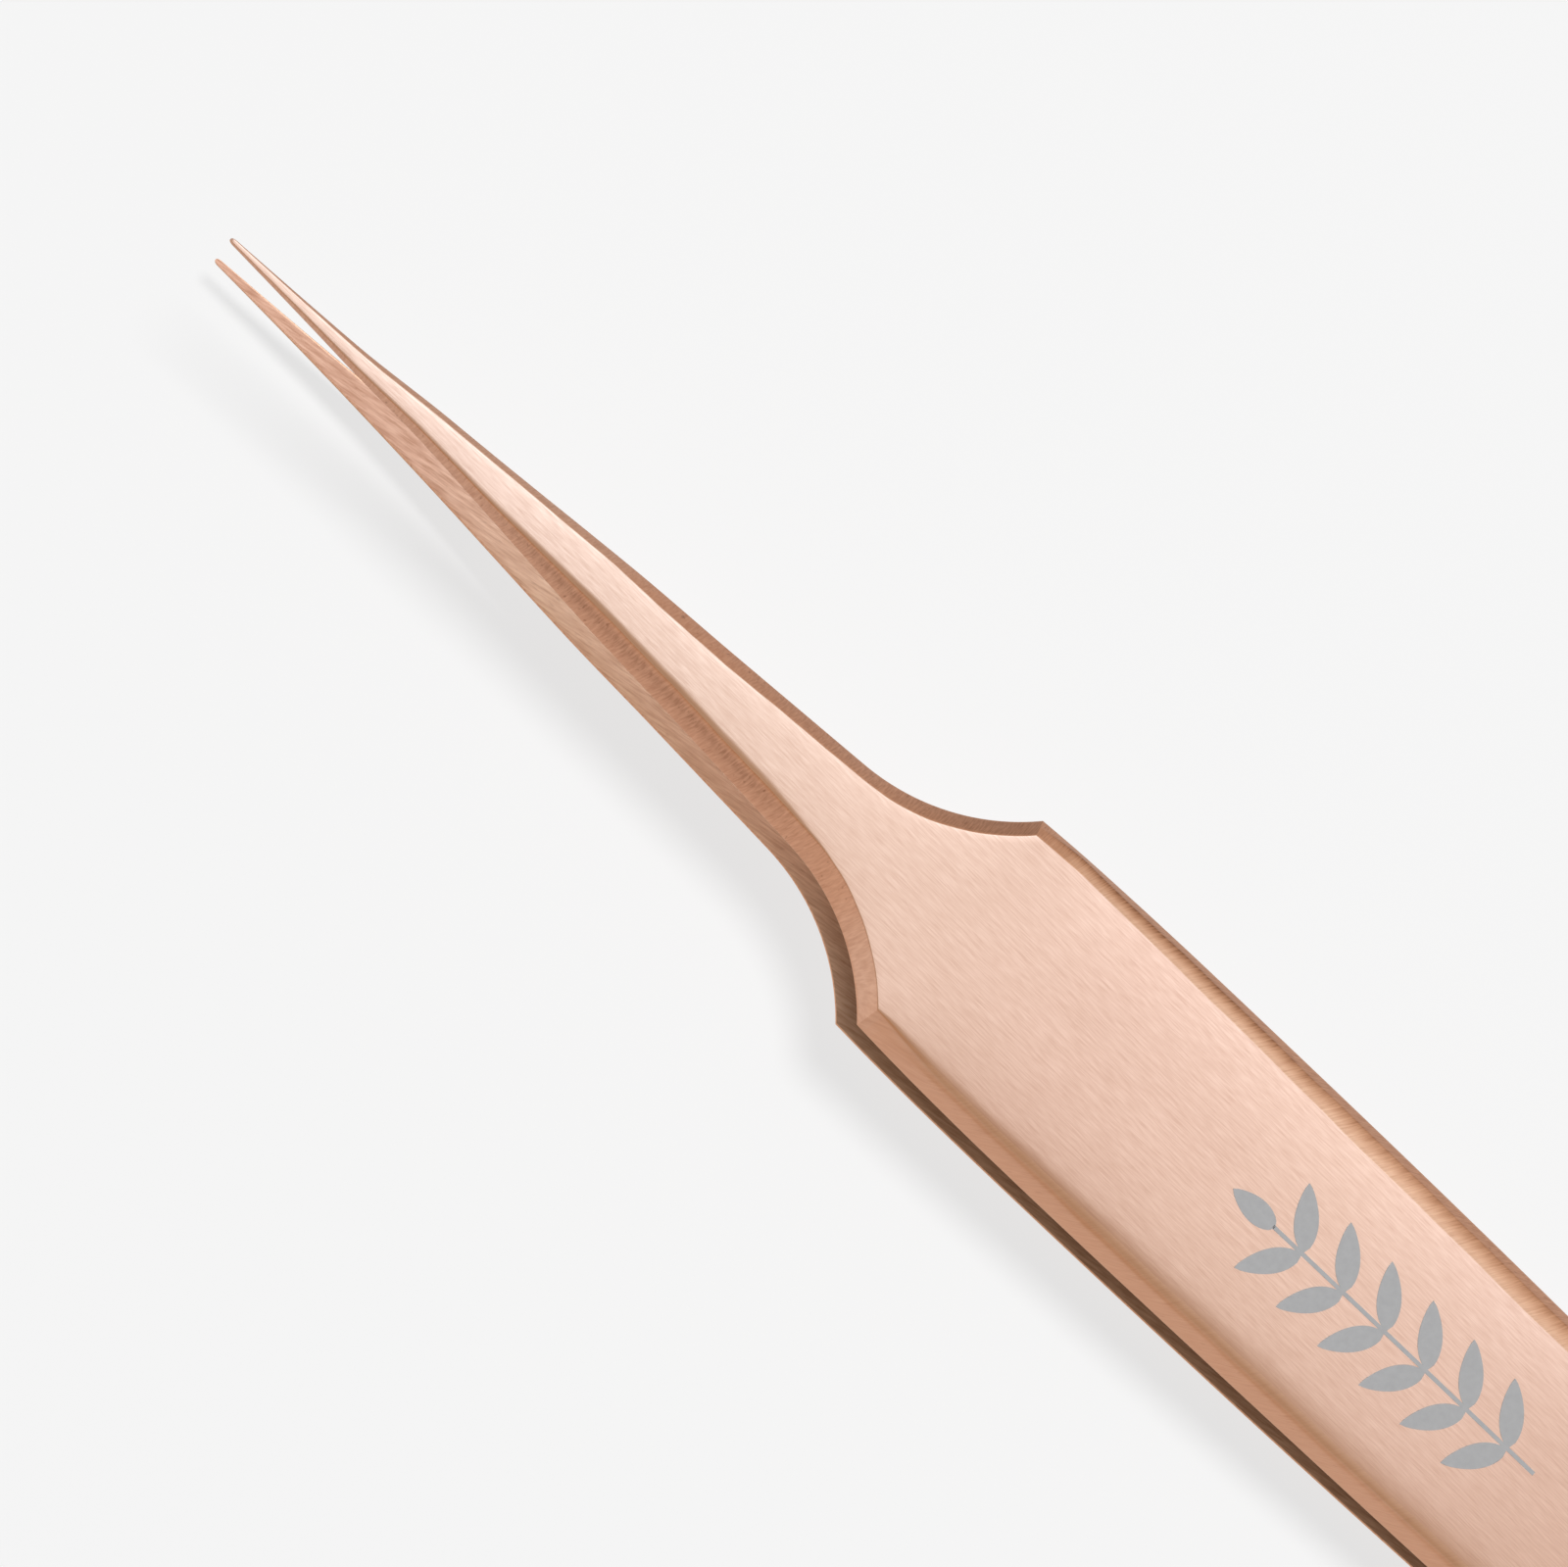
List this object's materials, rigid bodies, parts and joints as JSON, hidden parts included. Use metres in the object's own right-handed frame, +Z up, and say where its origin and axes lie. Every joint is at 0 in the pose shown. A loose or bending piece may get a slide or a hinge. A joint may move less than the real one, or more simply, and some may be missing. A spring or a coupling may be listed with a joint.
{
  "type": "fine-point tweezers",
  "caption": "Brushed steel tweezers with needle points: slim bevelled necks flare at sharp shoulders into wide flat grips, and the two spring leaves are welded together in the tail.",
  "frame": {"origin": "on the surface that the tweezers lie on, below the middle of the bounding box", "axes": "+X along the tweezers towards the points, +Y across the arms, +Z up from the surface; the lower arm's bulge and the tail's rear edge rest on z = 0, which tips the whole tool 2.3 degrees, points up"},
  "size_m": [0.11, 0.01, 0.0094],
  "materials": {
    "rose_gold_steel": "rose-gold coloured, fine brush grain almost along the arm",
    "weld_steel": "bare fused steel"
  },
  "bodies": {
    "tail": {"upper_arm_root": "rose_gold_steel", "lower_arm_root": "rose_gold_steel", "spot_weld_front": "weld_steel", "spot_weld_rear": "weld_steel"},
    "upper_arm": {"upper_arm_blade": "rose_gold_steel"},
    "lower_arm": {"lower_arm_blade": "rose_gold_steel"}
  },
  "joints": [
    {"name": "upper_arm_flex", "type": "hinge", "parent": "tail", "child": "upper_arm", "pos_m": [-0.0231, 0, 0.00383], "axis": [0, 1, 0], "range_deg": [0, 2.62], "stiffness_Nm_per_rad": 1.3},
    {"name": "lower_arm_flex", "type": "hinge", "parent": "tail", "child": "lower_arm", "pos_m": [-0.02299, 0, 0.00113], "axis": [0, -1, 0], "range_deg": [0, 2.62], "stiffness_Nm_per_rad": 1.3}
  ],
  "couplings": [
    {"joint": "lower_arm_flex", "follows": "upper_arm_flex", "ratio": 1}
  ]
}
